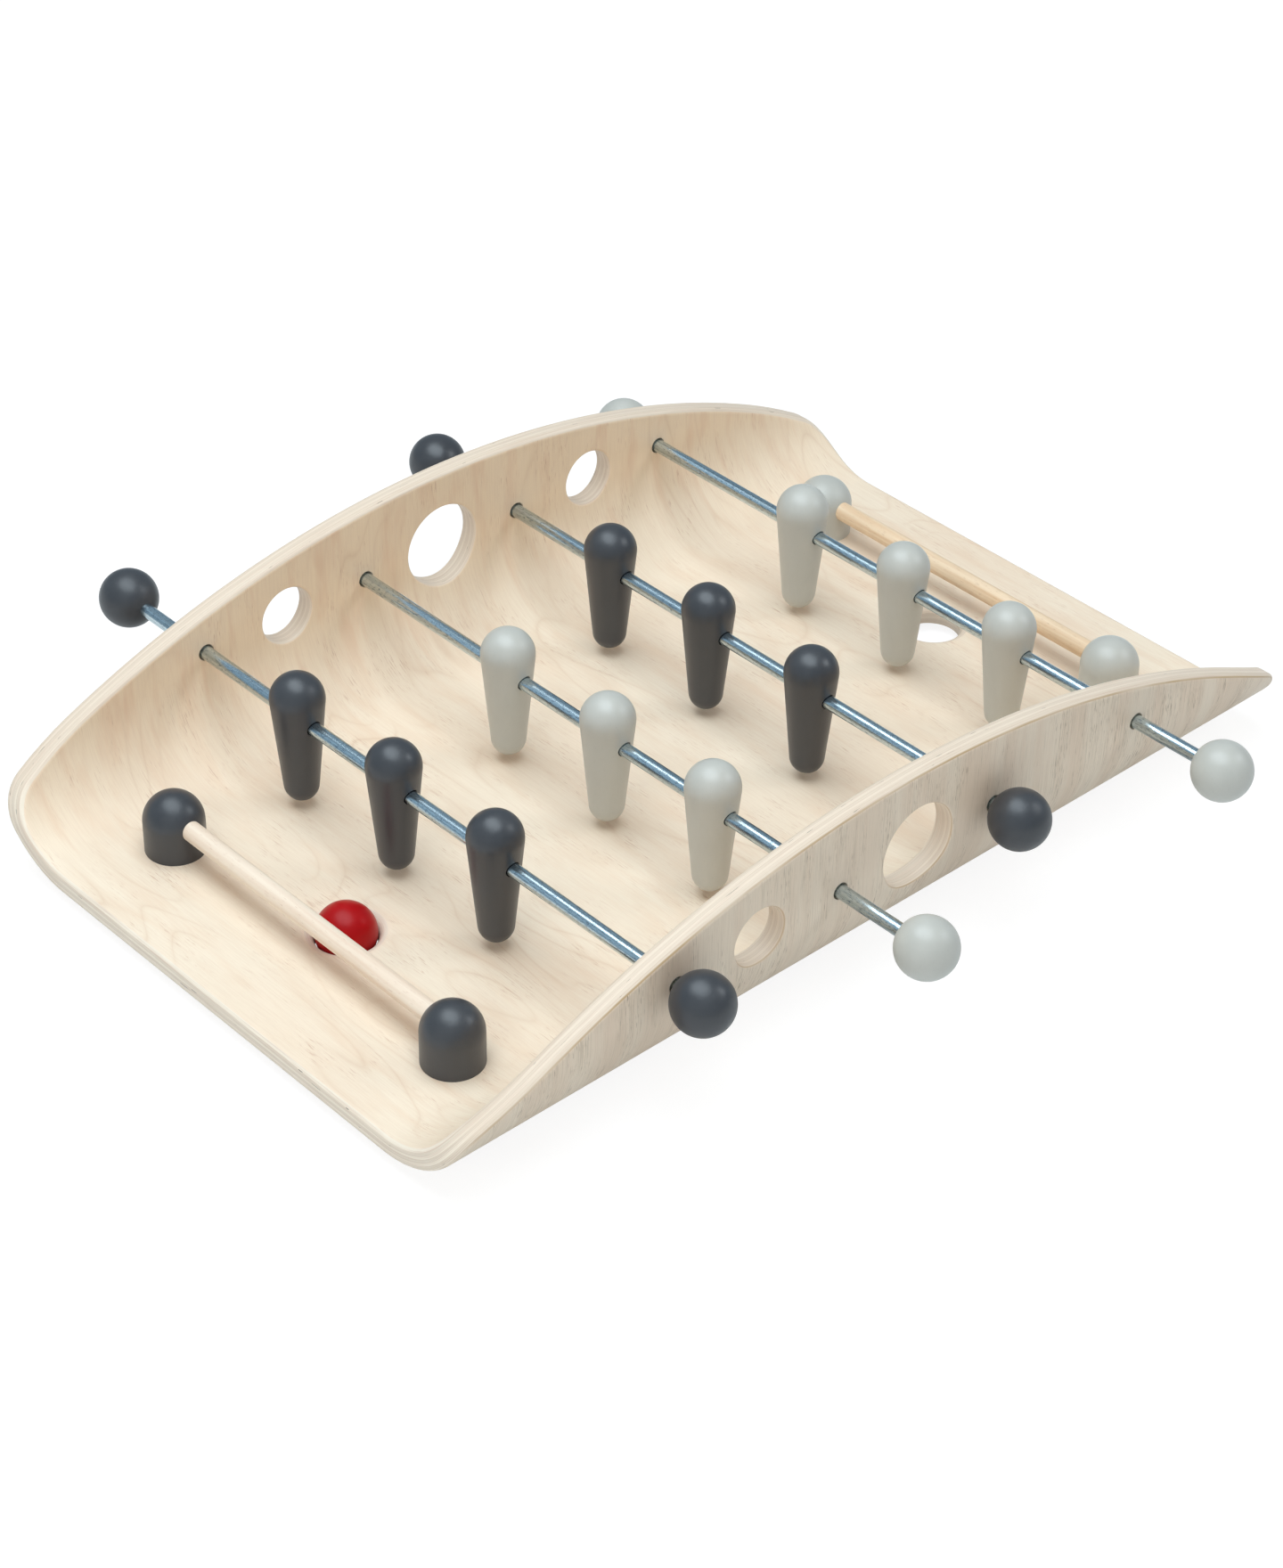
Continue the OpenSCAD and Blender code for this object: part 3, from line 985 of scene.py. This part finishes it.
def post_tree():
    sizes = ["Post radius", "Side height", "Screw radius", "Screw reach"]
    tree, (radius, side, screw_radius, screw_reach), named = new_tree("domed_post", sizes, COPIES)
    rows = {"Side_Segments": 8, "Fill_Segments": 20, "fill_type": "TRIANGLE_FAN"}
    cylinder = round_bar(tree, radius, side, ROUND_SIDES, **rows)
    standing = lifted(tree, cylinder, times(tree, side, 0.5))
    x, y, z = parts_of(tree, shape(tree, "InputPosition"))
    out = calc(tree, "SQRT", plus(tree, times(tree, x, x), times(tree, y, y)))
    turn = times(tree, calc(tree, "DIVIDE", out, radius), pi / 2)
    dome_up, dome_out = on_round(tree, radius, turn)
    # The middle of the cap has no way out, and isn't divided by zero
    stretch = calc(tree, "DIVIDE", dome_out, calc(tree, "MAXIMUM", out, 1e-9))
    height = plus(tree, side, dome_up)
    place = vector(tree, times(tree, x, stretch), times(tree, y, stretch), height)
    on_cap = calc(tree, "GREATER_THAN", z, minus(tree, side, 1e-6))
    domed = shape(tree, "SetPosition", standing, Selection=on_cap, Position=place)
    pilot = round_bar(tree, screw_radius, times(tree, screw_reach, 2.0))
    drill_and_copy(tree, domed, named, [pilot])
    return tree


# %% Two posts for each goal
POST_TREE = post_tree()
BAR_SINK = 8 * MM
BAR_RADIUS = half_size("dark_crossbar")[2]
BAR_Z = centre_of("dark_crossbar")[2]
GLUE_GAP = 0.05 * MM
SCREW_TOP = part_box("post_screws")[1].z


def make_posts(team, end, material, slot):
    side_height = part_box("light_left_post")[1].z - FLOOR_Z - POST_RADIUS
    values = {
        "Post radius": POST_RADIUS, "Side height": side_height,
        "Screw radius": SCREW_RADIUS + SCREW_GAP, "Screw reach": SCREW_TOP - FLOOR_Z + END_GAP,
        "Bore radius": BAR_RADIUS + GLUE_GAP, "Bore length": 2 * POST_RADIUS,
        "Bore middle": (0.0, -2 * POST_RADIUS + BAR_SINK + END_GAP, BAR_Z - FLOOR_Z),
        "Copies": 2, "First place": (end * GOAL_X, POST_Y, FLOOR_Z),
        "Step": (0.0, -2 * POST_Y, 0.0), "Turn per copy": pi, "Material": material,
    }
    posts = made_by(POST_TREE, f"{team}_posts", values)
    hand_over(posts, "tray", slot, f"{team}_left_post", f"{team}_right_post")


make_posts("dark", -1, *DARK_TEAM)
make_posts("light", 1, *LIGHT_TEAM)

# %% [markdown]
# ## Rods, crossbars and the ball
# These are plain turned bars with softened ends, so a short lathe in mesh code is enough:
# it spins a list of radii round the Y axis and closes both ends. The ball starts as a cube
# that is divided and pushed out to a sphere, which has no poles to pinch the shine.

# %% A bar along Y, with a chamfer at both ends
BAR_SIDES, BAR_SPANS = 64, 24
TURNS = [2 * pi * k / BAR_SIDES for k in range(BAR_SIDES)]


def make_bar(node, name, chamfer, material, body, slot):
    centre = Vector(centre_of(node))
    _, half_length, radius = half_size(node)
    reach = half_length - chamfer
    stops = [(reach * (2 * k / BAR_SPANS - 1), radius) for k in range(BAR_SPANS + 1)]
    stops = [(-half_length, radius - chamfer), *stops, (half_length, radius - chamfer)]
    mesh = bmesh.new()
    rings = []
    for y, out in stops:
        places = [Vector((out * cos(turn), y, out * sin(turn))) for turn in TURNS]
        rings.append([mesh.verts.new(centre + place) for place in places])
    join_rings(mesh, rings)
    smooth_faces(mesh)
    mesh.faces.new(rings[0])
    mesh.faces.new(rings[-1])
    bmesh.ops.recalc_face_normals(mesh, faces=mesh.faces)
    for edge in mesh.edges:
        edge.smooth = edge.calc_face_angle(0.0) < CREASE
    hand_over(object_from_work(mesh, name, material), body, slot, node)


for number in TEAM:
    make_bar(f"rod_{number}", f"rod_{number}_steel", 0.6 * MM, STEEL, f"rod_{number}", "rod_steel")
make_bar("dark_crossbar", "dark_dowel", 0.5 * MM, PALE_DOWEL, "tray", "pale_bar_wood")
make_bar("light_crossbar", "light_dowel", 0.5 * MM, TAN_DOWEL, "tray", "tan_bar_wood")


# %% The ball
BALL_CUTS = 23


def make_ball():
    centre = Vector(centre_of("ball"))
    mesh = bmesh.new()
    bmesh.ops.create_cube(mesh, size=1.0)
    bmesh.ops.subdivide_edges(mesh, edges=mesh.edges, cuts=BALL_CUTS, use_grid_fill=True)
    for vertex in mesh.verts:
        # An even spread: the tangent undoes the crowding at the cube's corners
        even = Vector([sin(c * pi / 2) / cos(c * pi / 2) for c in vertex.co])
        vertex.co = centre + even.normalized() * BALL_RADIUS
    smooth_faces(mesh)
    return object_from_work(mesh, "red_ball", RED)


hand_over(make_ball(), "ball", "red_lacquer", "ball")

# %% [markdown]
# ## Screws under the posts
# Four countersunk wood screws come up through the floor into the posts. Each has a cone
# head with a crossed recess, a shank and a thread. A spiral curve swept with a small
# triangle makes the thread, and the tree copies the screw to its four places.

# %% Copies at the four corners of a rectangle
CORNERS = {"Corner": "Vector", "Material": "Material"}


def at_four_corners(tree, mesh, named):
    """Copies a shape to plus and minus the corner's X and Y, at the corner's height."""
    x, y, z = parts_of(tree, named["Corner"])
    grid = shape(tree, "MeshGrid", times(tree, x, 2.0), times(tree, y, 2.0), 2, 2)
    copy_and_paint(tree, lifted(tree, grid, z), mesh, named["Material"])


# %% Screws. The core and the thread's ridge are shares of the shank's radius
CORE_SHARE, RIDGE_SHARE, TIP_RADIUS = 0.78, 0.22, 0.1 * MM
# How long each part is, and where it goes, as shares of the length
BODY_SHARE, BODY_MIDDLE = 0.86, 0.44
TIP_SHARE, TIP_FOOT = 0.13, 0.87
THREAD_SHARE, THREAD_FOOT = 0.60, 0.26
# The recess, as shares of the head's radius and of its height
RECESS_LONG, RECESS_WIDE, RECESS_HIGH = 1.1, 0.22, 1.2


def round_cone(tree, bottom, top, height, sides):
    radii = {"Radius_Top": top, "Radius_Bottom": bottom}
    return shape(tree, "MeshCone", Vertices=sides, Depth=height, **radii)


def screw_tree():
    sizes = ["Head radius", "Shank radius", "Length", "Thread turns"]
    tree, (head, shank, length, thread_turns), named = new_tree("wood_screw", sizes, CORNERS)

    def along(share):
        return times(tree, length, share)

    core = times(tree, shank, CORE_SHARE)
    body = round_bar(tree, core, along(BODY_SHARE), sides=24)
    tip = round_cone(tree, core, TIP_RADIUS, along(TIP_SHARE), sides=24)
    # The thread is a spiral path with a three-sided profile
    core_wide = {"Start_Radius": core, "End_Radius": core, "Height": along(THREAD_SHARE)}
    path = shape(tree, "CurveSpiral", Resolution=20, Rotations=thread_turns, **core_wide)
    ridge_radius = times(tree, shank, RIDGE_SHARE)
    ridge = shape(tree, "CurvePrimitiveCircle", Resolution=3, Radius=ridge_radius)
    thread = shape(tree, "CurveToMesh", path, ridge, Fill_Caps=True)
    # The head is a cone, cut by two crossed bars
    rise = minus(tree, head, shank)
    cone = round_cone(tree, head, shank, rise, sides=32)
    shares = ((head, RECESS_LONG), (head, RECESS_WIDE), (rise, RECESS_HIGH))
    bar_size = vector(tree, *(times(tree, size, share) for size, share in shares))
    bar = shape(tree, "MeshCube", Size=bar_size)
    crossed = shape(tree, "Transform", bar, Rotation=(0, 0, pi / 2))
    parts = [drill(tree, cone, [bar, crossed])]
    for mesh, place in ((body, BODY_MIDDLE), (tip, TIP_FOOT), (thread, THREAD_FOOT)):
        parts.append(lifted(tree, mesh, along(place)))
    at_four_corners(tree, shape(tree, "JoinGeometry", parts), named)
    return tree


screws = made_by(screw_tree(), "wood_screws", {
    "Head radius": SCREW_HEAD, "Shank radius": SCREW_RADIUS, "Length": SCREW_TOP - UNDERSIDE,
    "Thread turns": 10.0, "Corner": (GOAL_X, POST_Y, UNDERSIDE), "Material": SCREW_STEEL,
})
hand_over(screws, "tray", "screw_steel", "post_screws")

# %% [markdown]
# ## Rubber feet
# The board stands on four small rubber feet, glued under the floor. Each is a short cone
# with a soft edge at the sole, turned on the same lathe as the players.

# %% Feet
def foot_tree():
    sizes = ["Sole radius", "Top radius", "Height", "Soft edge"]
    tree, (sole, top, height, soft), named = new_tree("rubber_foot", sizes, CORNERS)

    def rule(share):
        round_out, round_up = on_round(tree, soft, spread(tree, share, 0.0, 0.5, -pi / 2, 0.0))
        climb = spread(tree, share, 0.5, 1.0)
        out = plus(tree, minus(tree, sole, soft), round_out)
        up = plus(tree, soft, round_up)
        return from_to(tree, climb, out, top), from_to(tree, climb, up, height)

    at_four_corners(tree, keep_creases(tree, turned(tree, 16, rule)), named)
    return tree


FEET = [f"{team}_{side}_rubber_foot" for team in ("dark", "light") for side in ("left", "right")]
foot_x, foot_y, _ = centre_of("light_left_rubber_foot")
feet = made_by(foot_tree(), "rubber_feet", {
    "Sole radius": 8 * MM, "Top radius": half_size("light_left_rubber_foot")[0],
    "Height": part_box("light_left_rubber_foot")[1].z, "Soft edge": 1 * MM,
    "Corner": (foot_x, foot_y, 0.0), "Material": RUBBER,
})
hand_over(feet, "tray", "grey_rubber", *FEET)

# %% [markdown]
# ## Floor, light and camera
# The game stands on a plain white surface. Two large soft lamps hang above it, one almost
# overhead and one to the right, and give the paired highlights on the domes. A third, low
# and in front, throws the knobs' soft shadows on the wall. The world fills the shadows.
# The camera sees the floor and the world as white, the steel sees a dim bluish room, and
# the floor keeps the soft shadow of the board.

# %% White world
WHITE, WARM = (1.0, 1.0, 1.0), (1.0, 0.975, 0.94)
COOL, BLUISH, ROOM_BLUE = (0.90, 0.955, 1.0), (0.82, 0.93, 1.0), (0.57, 0.79, 0.98)
FILL_LOW, FILL_TOP = 0.10, 0.40
ROOM_NEAR, ROOM_FAR = 0.56, 0.40


def seen_directly(tree):
    """1 for what the camera sees, straight or through something clear, and 0 otherwise."""
    path = add(tree, "ShaderNodeLightPath").outputs
    return calc(tree, "MAXIMUM", path["Is Camera Ray"], path["Is Transmission Ray"])


def studio_world():
    """The camera sees white. Light comes from a pale fill, and mirrors see a dim room that
    is darker beyond the far end."""
    world = bpy.data.worlds.new("studio")
    bpy.context.scene.world = world
    world.use_nodes = True
    tree = world.node_tree
    along, _, up = parts_of(tree, shade(tree, "TexCoord", output="Generated"))
    light = tree.nodes["Background"]
    fill(tree, light.inputs["Color"], WARM)
    fill(tree, light.inputs["Strength"], spread(tree, up, 0.0, 1.0, FILL_LOW, FILL_TOP))
    dim = spread(tree, along, -0.35, 0.10, ROOM_NEAR, ROOM_FAR)
    room = shade(tree, "Background", ROOM_BLUE, dim)
    glossy = shade(tree, "LightPath", output="Is Glossy Ray")
    mirrored = shade(tree, "MixShader", glossy, light.outputs[0], room)
    white = shade(tree, "Background", WHITE, 1.0)
    mixed = shade(tree, "MixShader", seen_directly(tree), mirrored, white)
    fill(tree, tree.nodes["World Output"].inputs["Surface"], mixed)
    print("World:", world.name, "with a fill of", FILL_LOW, "to", FILL_TOP)


studio_world()

# %% White floor that keeps the shadow
FLOOR_SIZE = 6.0
PAPER, SHADOW_PART = (0.82, 0.84, 0.85), (0.18, 0.18, 0.18)


def white_floor():
    """Part of what the camera sees is a glow, so the floor is white and yet keeps shadows."""
    material, tree, shader = new_material("studio_floor")
    tree.nodes.remove(shader)
    place = shade(tree, "TexCoord", output="Object")
    away = shade(tree, "VectorMath", place, output="Value", operation="LENGTH")
    glow = shade(tree, "Emission", WHITE, spread(tree, away, 0.5, 2.5, 0.885, 1.0))
    seen = shade(tree, "AddShader", shade(tree, "BsdfDiffuse", SHADOW_PART), glow)
    mixed = shade(tree, "MixShader", seen_directly(tree), shade(tree, "BsdfDiffuse", PAPER), seen)
    fill(tree, tree.nodes["Material Output"].inputs["Surface"], mixed)
    mesh = bmesh.new()
    bmesh.ops.create_grid(mesh, x_segments=1, y_segments=1, size=FLOOR_SIZE)
    floor = object_from_work(mesh, "studio_floor", material)
    print("Floor:", 2 * FLOOR_SIZE, "m square")


white_floor()


# %% Three soft lamps
def lamp(name, direction, distance, size, power, color, mirrored=True, length=None):
    """A round lamp that faces the middle, or an oval one whose length runs along Y."""
    data = bpy.data.lights.new(name, "AREA")
    data.shape = "ELLIPSE"
    data.size, data.size_y = size, length or size
    data.energy = power
    data.color = color
    holder = object_from(name, data)
    toward = Vector(direction).normalized()
    holder.location = toward * distance
    holder.rotation_mode = "QUATERNION"
    across = Vector((0.0, 1.0, 0.0)).cross(toward).normalized()
    facing = Matrix((across, toward.cross(across), toward)).transposed()
    holder.rotation_quaternion = facing.to_quaternion()
    holder.visible_glossy = mirrored
    print(name, "at", [round(c, 2) for c in holder.location], "m with", power, "W")


lamp("lamp_overhead", (-0.15, 0.05, 0.985), 1.7, size=1.40, power=27.3, color=BLUISH, length=2.00)
lamp("lamp_right", (0.62, -0.50, 0.61), 1.8, size=0.65, power=4.5, color=COOL)
lamp("lamp_front", (-0.85, -0.38, 0.40), 2.4, size=1.6, power=13.2, color=WARM, mirrored=False)

# %% Camera, as the photograph was taken
AZIMUTH, ELEVATION, ROLL = radians(-42.96), radians(36.38), radians(1.07)
AIM = Vector((-62.91, -56.57, 62.2)) * MM + Vector((0.0, 0.0, UNDERSIDE))
DISTANCE = 1633.14 * MM
FOCAL_PX, FRAME_HEIGHT_PX = 3934.56, 1760
SENSOR = 36.0


def photo_camera():
    """The camera looks along its own -Z, so it is tilted up from straight down."""
    tilted = Matrix.Rotation(AZIMUTH, 4, "Z") @ Matrix.Rotation(pi / 2 - ELEVATION, 4, "X")
    back = tilted.to_3x3() @ Vector((0.0, 0.0, DISTANCE))
    data = bpy.data.cameras.new("photo_camera")
    data.sensor_fit = "VERTICAL"
    data.sensor_width = data.sensor_height = SENSOR
    data.lens = FOCAL_PX / FRAME_HEIGHT_PX * SENSOR
    data.clip_start, data.clip_end = 0.05, 50.0
    holder = object_from("photo_camera", data)
    holder.matrix_world = Matrix.Translation(AIM + back) @ tilted @ Matrix.Rotation(ROLL, 4, "Z")
    bpy.context.scene.camera = holder
    place = holder.matrix_world.translation
    print("Camera at", [round(c, 3) for c in place], "with a lens of", round(data.lens, 1), "mm")


photo_camera()
bpy.context.scene.view_settings.view_transform = "Standard"
